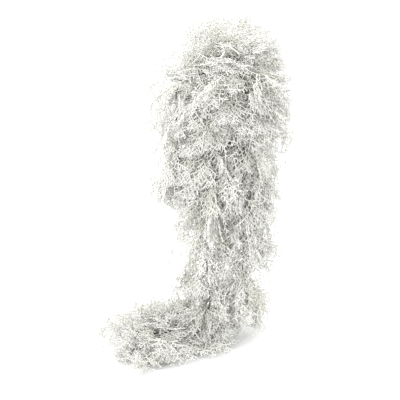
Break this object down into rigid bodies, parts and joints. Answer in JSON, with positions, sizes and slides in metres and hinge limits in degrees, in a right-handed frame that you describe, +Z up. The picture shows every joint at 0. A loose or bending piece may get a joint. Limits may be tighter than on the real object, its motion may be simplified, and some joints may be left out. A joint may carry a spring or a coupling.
{
  "type": "artificial trailing moss plant",
  "caption": "Bunch of finely forked pale moss sprigs on wire-cored stems from one head, held by its neck, the longest branch trailing on the floor.",
  "frame": {"origin": "middle of the neck's cut end", "axes": "+Z up along the neck as it is held, -Y the front that is seen, +X to the right seen from the front"},
  "size_m": [0.4483, 0.3918, 0.7441],
  "materials": {
    "sprig": "matte soft moulded plastic, pale grey-green",
    "stem": "dark grey-green plastic moulded over a soft wire",
    "head": "dark grey-green moulded plastic",
    "tape": "dull green waxed crepe tape",
    "core": "bare soft steel wire"
  },
  "bodies": {
    "head": {"bush_head": "head", "neck_sleeve": "stem", "neck_core_wire": "core", "binding_tape": "tape"},
    "right_outer_branch": {"right_outer_stem": "stem", "right_outer_shoulder_tuft": "sprig", "right_outer_upper_tuft": "sprig", "right_outer_lower_tuft": "sprig", "right_outer_end_tuft": "sprig"},
    "right_back_branch": {"right_back_stem": "stem", "right_back_shoulder_tuft": "sprig", "right_back_upper_tuft": "sprig", "right_back_lower_tuft": "sprig", "right_back_end_tuft": "sprig"},
    "back_branch": {"back_stem": "stem", "back_shoulder_tuft": "sprig", "back_upper_tuft": "sprig", "back_lower_tuft": "sprig", "back_end_tuft": "sprig"},
    "left_back_branch": {"left_back_stem": "stem", "left_back_shoulder_tuft": "sprig", "left_back_upper_tuft": "sprig", "left_back_lower_tuft": "sprig", "left_back_end_tuft": "sprig"},
    "left_outer_branch": {"left_outer_stem": "stem", "left_outer_shoulder_tuft": "sprig", "left_outer_upper_tuft": "sprig", "left_outer_lower_tuft": "sprig", "left_outer_end_tuft": "sprig"},
    "longest_branch": {"longest_stem": "stem", "longest_shoulder_tuft": "sprig", "longest_upper_tuft": "sprig", "longest_middle_tuft": "sprig", "longest_lower_tuft": "sprig"},
    "front_branch": {"front_stem": "stem", "front_shoulder_tuft": "sprig", "front_upper_tuft": "sprig", "front_lower_tuft": "sprig", "front_end_tuft": "sprig"},
    "front_right_branch": {"front_right_stem": "stem", "front_right_shoulder_tuft": "sprig", "front_right_upper_tuft": "sprig", "front_right_middle_tuft": "sprig", "front_right_lower_tuft": "sprig", "front_right_end_tuft": "sprig"},
    "tail": {"tail_stem": "stem", "tail_front_near_tuft": "sprig", "tail_front_far_tuft": "sprig", "tail_back_tuft": "sprig", "tail_end_tuft": "sprig"},
    "crown_right_spray": {"crown_right_stem": "stem", "crown_right_tuft": "sprig"},
    "crown_back_spray": {"crown_back_stem": "stem", "crown_back_tuft": "sprig"},
    "crown_left_spray": {"crown_left_stem": "stem", "crown_left_tuft": "sprig"},
    "crown_front_left_spray": {"crown_front_left_stem": "stem", "crown_front_left_tuft": "sprig"},
    "crown_front_right_spray": {"crown_front_right_stem": "stem", "crown_front_right_tuft": "sprig"}
  },
  "joints": [
    {"name": "right_outer_bend", "type": "hinge", "parent": "head", "child": "right_outer_branch", "pos_m": [0.02179, -0.00306, -0.07], "axis": [-0.1392, -0.9903, 0], "range_deg": [0, 30]},
    {"name": "right_back_bend", "type": "hinge", "parent": "head", "child": "right_back_branch", "pos_m": [0.01685, 0.01414, -0.07], "axis": [0.6428, -0.766, 0], "range_deg": [0, 35]},
    {"name": "back_bend", "type": "hinge", "parent": "head", "child": "back_branch", "pos_m": [0, 0.022, -0.07], "axis": [1, 0, 0], "range_deg": [0, 35]},
    {"name": "left_back_bend", "type": "hinge", "parent": "head", "child": "left_back_branch", "pos_m": [-0.01635, 0.01472, -0.07], "axis": [0.6691, 0.7431, 0], "range_deg": [0, 35]},
    {"name": "left_outer_bend", "type": "hinge", "parent": "head", "child": "left_outer_branch", "pos_m": [-0.02195, -0.00153, -0.07], "axis": [-0.0698, 0.9976, 0], "range_deg": [0, 35]},
    {"name": "longest_bend", "type": "hinge", "parent": "head", "child": "longest_branch", "pos_m": [-0.01443, -0.0166, -0.07], "axis": [-0.7547, 0.6561, 0], "range_deg": [0, 20]},
    {"name": "front_bend", "type": "hinge", "parent": "head", "child": "front_branch", "pos_m": [0, -0.022, -0.07], "axis": [-1, 0, 0], "range_deg": [0, 35]},
    {"name": "front_right_bend", "type": "hinge", "parent": "head", "child": "front_right_branch", "pos_m": [0.01472, -0.01635, -0.07], "axis": [-0.7431, -0.6691, 0], "range_deg": [0, 25]},
    {"name": "tail_bend", "type": "hinge", "parent": "longest_branch", "child": "tail", "pos_m": [-0.03759, -0.04865, -0.6028], "axis": [-0.4384, 0.8988, 0], "range_deg": [0, 45]},
    {"name": "crown_right_bend", "type": "hinge", "parent": "head", "child": "crown_right_spray", "pos_m": [0.01483, 0.0037, -0.05418], "axis": [0.2419, -0.9703, 0], "range_deg": [-8, 8]},
    {"name": "crown_back_bend", "type": "hinge", "parent": "head", "child": "crown_back_spray", "pos_m": [0.0009, 0.0129, -0.0522], "axis": [0.9976, -0.0698, 0], "range_deg": [-14, 6]},
    {"name": "crown_left_bend", "type": "hinge", "parent": "head", "child": "crown_left_spray", "pos_m": [-0.01141, 0.00461, -0.05176], "axis": [0.3746, 0.9272, 0], "range_deg": [-14, 6]},
    {"name": "crown_front_left_bend", "type": "hinge", "parent": "head", "child": "crown_front_left_spray", "pos_m": [-0.00692, -0.00855, -0.05095], "axis": [-0.7771, 0.6293, 0], "range_deg": [-14, 6]},
    {"name": "crown_front_right_bend", "type": "hinge", "parent": "head", "child": "crown_front_right_spray", "pos_m": [0.00685, -0.01097, -0.0522], "axis": [-0.848, -0.5299, 0], "range_deg": [-14, 6]}
  ]
}
